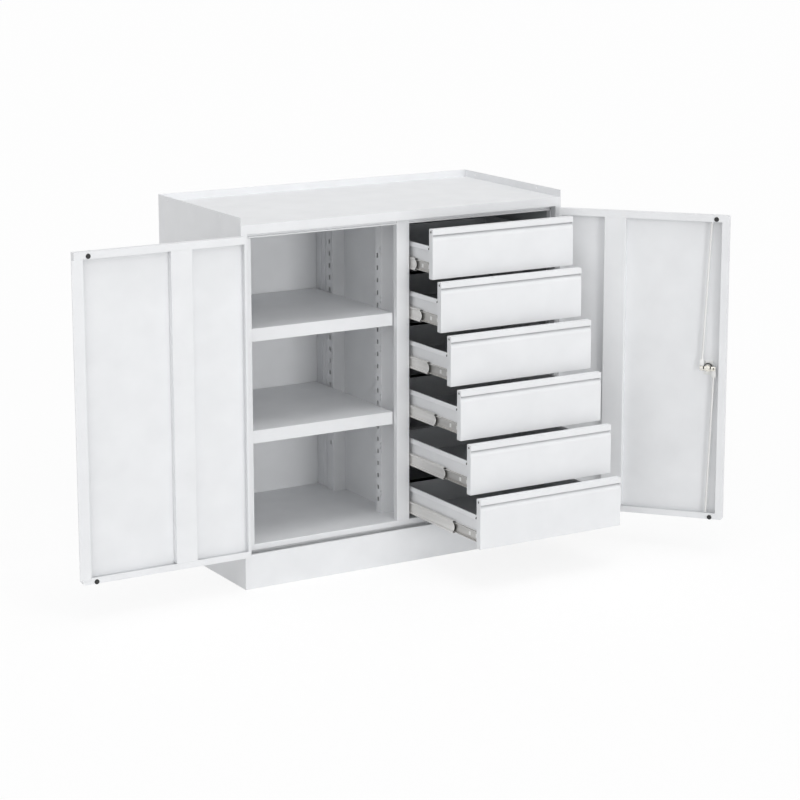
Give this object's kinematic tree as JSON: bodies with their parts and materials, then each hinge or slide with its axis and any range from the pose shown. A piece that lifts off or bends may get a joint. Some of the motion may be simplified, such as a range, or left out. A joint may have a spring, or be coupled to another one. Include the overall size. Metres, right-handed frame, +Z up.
{
  "type": "tool cabinet with doors",
  "caption": "Light grey steel tool cabinet with two hinged doors, an open shelf bay on the left and a stack of drawers on ball slides on the right.",
  "frame": {"origin": "centre of the cabinet's base, on the floor", "axes": "+X to the right seen from the front, -Y out of the front where the doors and drawers open, +Z up"},
  "size_m": [1.7923, 0.8853, 1],
  "materials": {
    "light_paint": "fine satin powder coat",
    "zinc_steel": "bright zinc plated sheet",
    "bright_steel": "smooth plated steel",
    "lock_metal": "nickel plated",
    "buffer_rubber": "matte"
  },
  "bodies": {
    "cabinet": {"left_side_panel": "light_paint", "right_side_panel": "light_paint", "back_panel": "light_paint", "worktop": "light_paint", "floor_panel": "light_paint", "plinth": "light_paint", "base_rail": "light_paint", "centre_partition": "light_paint", "drawer_liner": "light_paint", "centre_post": "light_paint", "front_stiles": "light_paint", "top_rail": "light_paint", "front_uprights": "light_paint", "back_uprights": "light_paint", "upper_shelf": "light_paint", "lower_shelf": "light_paint", "shelf_clips": "zinc_steel", "hinge_leaves": "light_paint", "hinge_pins": "zinc_steel", "slide_tracks": "zinc_steel"},
    "left_door": {"left_door_panel": "light_paint", "left_door_stiffener": "light_paint", "left_door_strip": "light_paint", "left_door_buffers": "buffer_rubber", "left_door_hinges": "light_paint"},
    "right_door": {"right_door_panel": "light_paint", "right_door_stiffener": "light_paint", "right_door_buffers": "buffer_rubber", "right_door_hinges": "light_paint", "lock_case": "bright_steel"},
    "lock_cam": {"lock_cam": "lock_metal", "lock_handle": "bright_steel"},
    "upper_rod": {"upper_rod": "bright_steel"},
    "lower_rod": {"lower_rod": "bright_steel"},
    "drawer_1": {"drawer_1_front": "light_paint", "drawer_1_box": "light_paint", "drawer_1_rails": "zinc_steel"},
    "slide_mid_1": {"slide_1_mid": "zinc_steel"},
    "drawer_2": {"drawer_2_front": "light_paint", "drawer_2_box": "light_paint", "drawer_2_rails": "zinc_steel"},
    "slide_mid_2": {"slide_2_mid": "zinc_steel"},
    "drawer_3": {"drawer_3_front": "light_paint", "drawer_3_box": "light_paint", "drawer_3_rails": "zinc_steel"},
    "slide_mid_3": {"slide_3_mid": "zinc_steel"},
    "drawer_4": {"drawer_4_front": "light_paint", "drawer_4_box": "light_paint", "drawer_4_rails": "zinc_steel"},
    "slide_mid_4": {"slide_4_mid": "zinc_steel"},
    "drawer_5": {"drawer_5_front": "light_paint", "drawer_5_box": "light_paint", "drawer_5_rails": "zinc_steel"},
    "slide_mid_5": {"slide_5_mid": "zinc_steel"},
    "drawer_6": {"drawer_6_front": "light_paint", "drawer_6_box": "light_paint", "drawer_6_rails": "zinc_steel"},
    "slide_mid_6": {"slide_6_mid": "zinc_steel"}
  },
  "joints": [
    {"name": "left_door_hinge", "type": "hinge", "parent": "cabinet", "child": "left_door", "pos_m": [-0.489, -0.2534, 0.525], "axis": [0, 0, -1], "range_deg": [-180, 0]},
    {"name": "right_door_hinge", "type": "hinge", "parent": "cabinet", "child": "right_door", "pos_m": [0.489, -0.2534, 0.525], "axis": [0, 0, 1], "range_deg": [-2, 49]},
    {"name": "drawer_1_slide", "type": "slide", "parent": "cabinet", "child": "drawer_1", "axis": [0, -1, 0], "range_m": [-0.1185, 0.2915]},
    {"name": "slide_mid_1_run", "type": "slide", "parent": "cabinet", "child": "slide_mid_1", "axis": [0, -1, 0], "range_m": [-0.0539, 0.13185]},
    {"name": "drawer_2_slide", "type": "slide", "parent": "cabinet", "child": "drawer_2", "axis": [0, -1, 0], "range_m": [-0.1618, 0.2482]},
    {"name": "slide_mid_2_run", "type": "slide", "parent": "cabinet", "child": "slide_mid_2", "axis": [0, -1, 0], "range_m": [-0.0807, 0.12353]},
    {"name": "drawer_3_slide", "type": "slide", "parent": "cabinet", "child": "drawer_3", "axis": [0, -1, 0], "range_m": [-0.2115, 0.1985]},
    {"name": "slide_mid_3_run", "type": "slide", "parent": "cabinet", "child": "slide_mid_3", "axis": [0, -1, 0], "range_m": [-0.119, 0.11172]},
    {"name": "drawer_4_slide", "type": "slide", "parent": "cabinet", "child": "drawer_4", "axis": [0, -1, 0], "range_m": [-0.2621, 0.1479]},
    {"name": "slide_mid_4_run", "type": "slide", "parent": "cabinet", "child": "slide_mid_4", "axis": [0, -1, 0], "range_m": [-0.1543, 0.08729]},
    {"name": "drawer_5_slide", "type": "slide", "parent": "cabinet", "child": "drawer_5", "axis": [0, -1, 0], "range_m": [-0.3123, 0.0977]},
    {"name": "slide_mid_5_run", "type": "slide", "parent": "cabinet", "child": "slide_mid_5", "axis": [0, -1, 0], "range_m": [-0.20321, 0.06392]},
    {"name": "drawer_6_slide", "type": "slide", "parent": "cabinet", "child": "drawer_6", "axis": [0, -1, 0], "range_m": [-0.361, 0.049]},
    {"name": "slide_mid_6_run", "type": "slide", "parent": "cabinet", "child": "slide_mid_6", "axis": [0, -1, 0], "range_m": [-0.25139, 0.03456]},
    {"name": "lock_turn", "type": "hinge", "parent": "right_door", "child": "lock_cam", "pos_m": [0.76573, -0.58988, 0.525], "axis": [0.7547, 0.6561, 0], "range_deg": [0, 90]},
    {"name": "upper_rod_throw", "type": "slide", "parent": "right_door", "child": "upper_rod", "axis": [0.0305, -0.0351, 0.9989], "range_m": [-0.0003, 0.0173]},
    {"name": "lower_rod_throw", "type": "slide", "parent": "right_door", "child": "lower_rod", "axis": [-0.0236, 0.0271, -0.9994], "range_m": [-0.0003, 0.0173]}
  ],
  "couplings": [
    {"joint": "slide_mid_1_run", "follows": "drawer_1_slide", "ratio": 0.4506},
    {"joint": "slide_mid_2_run", "follows": "drawer_2_slide", "ratio": 0.4957},
    {"joint": "slide_mid_3_run", "follows": "drawer_3_slide", "ratio": 0.5603},
    {"joint": "slide_mid_4_run", "follows": "drawer_4_slide", "ratio": 0.5868},
    {"joint": "slide_mid_5_run", "follows": "drawer_5_slide", "ratio": 0.6491},
    {"joint": "slide_mid_6_run", "follows": "drawer_6_slide", "ratio": 0.695},
    {"joint": "upper_rod_throw", "follows": "lock_turn", "m_per_rad": 0.010823},
    {"joint": "lower_rod_throw", "follows": "lock_turn", "m_per_rad": 0.010823}
  ]
}
